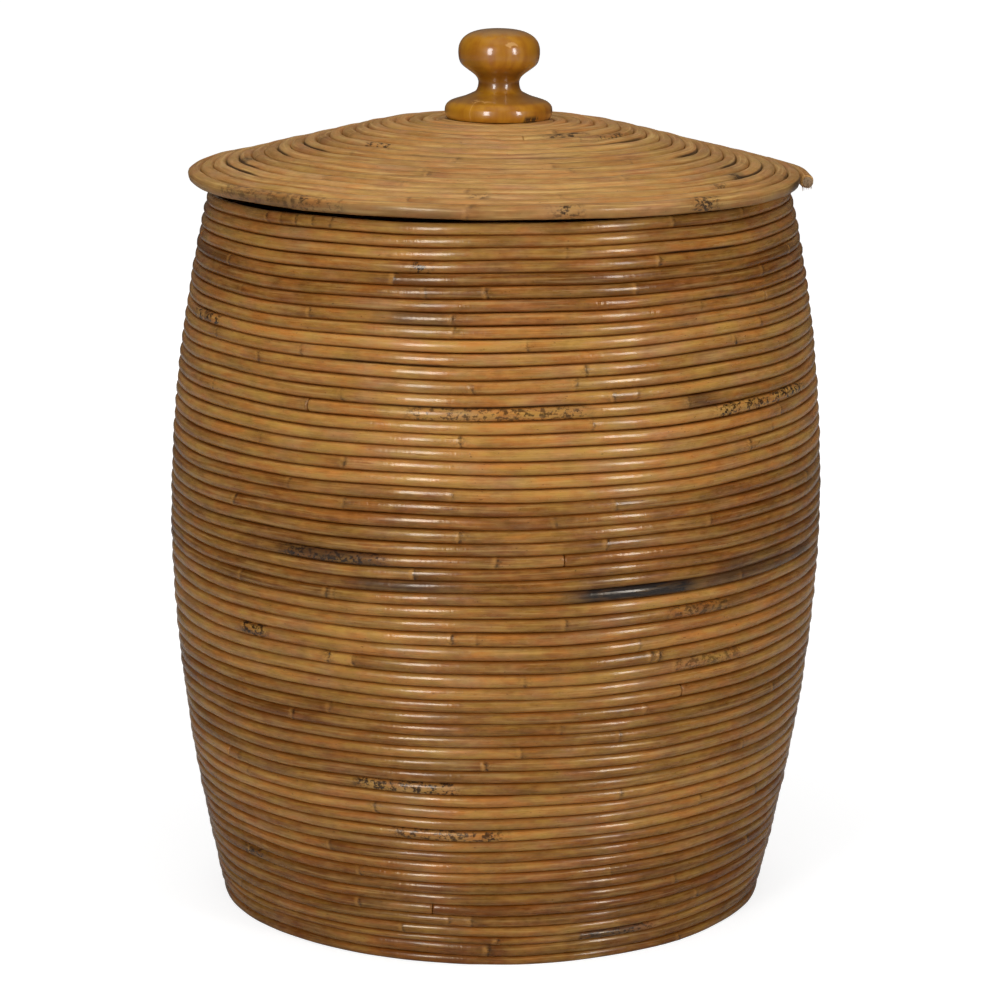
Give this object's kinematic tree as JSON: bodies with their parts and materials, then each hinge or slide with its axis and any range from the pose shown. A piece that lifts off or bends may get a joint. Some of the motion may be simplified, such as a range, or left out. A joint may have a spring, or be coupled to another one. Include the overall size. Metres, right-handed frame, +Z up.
{
  "type": "lidded cane basket",
  "caption": "Barrel basket coiled from round cane, with a shallow cone lid that lifts off by a turned wooden knob.",
  "frame": {"origin": "on the floor, below the middle of the belly; the wall leans, so the middle of the foot lies 3.3 mm towards -X", "axes": "+Z up through the middle of the belly, -Y the side that the picture shows, +X to its right"},
  "size_m": [0.4301, 0.43, 0.5723],
  "materials": {
    "wall_cane": "varnished round cane, honey brown, glossy",
    "base_cane": "bare round cane, matt",
    "lid_cane": "varnished round cane, tan, worn to a dull sheen",
    "turned_wood": "turned wood under a thick amber lacquer",
    "plain_wood": "sanded, unfinished",
    "steel": "plain wire and screw steel"
  },
  "bodies": {
    "basket": {"foot_hoop": "wall_cane", "base_hoop": "wall_cane", "base_cane_1": "base_cane", "base_cane_2": "base_cane", "base_brad_1": "steel", "base_pin_1": "steel", "base_pin_2": "steel", "base_pin_3": "steel", "base_pin_4": "steel", "wall_cane_01": "wall_cane", "wall_cane_02": "wall_cane", "wall_cane_03": "wall_cane", "wall_cane_04": "wall_cane", "wall_cane_05": "wall_cane", "wall_cane_06": "wall_cane", "wall_cane_07": "wall_cane", "wall_cane_08": "wall_cane", "wall_cane_09": "wall_cane", "wall_cane_10": "wall_cane", "wall_cane_11": "wall_cane", "wall_cane_12": "wall_cane", "wall_cane_13": "wall_cane", "wall_cane_14": "wall_cane", "wall_cane_15": "wall_cane", "wall_cane_16": "wall_cane", "wall_brad_01": "steel", "wall_brad_02": "steel", "wall_brad_03": "steel", "wall_brad_04": "steel", "wall_brad_05": "steel", "wall_brad_06": "steel", "wall_brad_07": "steel", "wall_brad_08": "steel", "wall_brad_09": "steel", "wall_brad_10": "steel", "wall_brad_11": "steel", "wall_brad_12": "steel", "wall_brad_13": "steel", "wall_brad_14": "steel", "wall_brad_15": "steel"},
    "lid": {"lid_cane_1": "lid_cane", "lid_cane_2": "lid_cane", "lid_cane_3": "lid_cane", "lid_brad_1": "steel", "lid_brad_2": "steel", "lid_locating_hoop": "lid_cane", "knob": "turned_wood", "backing_disc": "plain_wood", "washer": "steel", "knob_screw": "steel"}
  },
  "joints": [
    {"name": "lid_lift", "type": "slide", "parent": "basket", "child": "lid", "axis": [0, 0, 1], "range_m": [0, 0.35]}
  ]
}
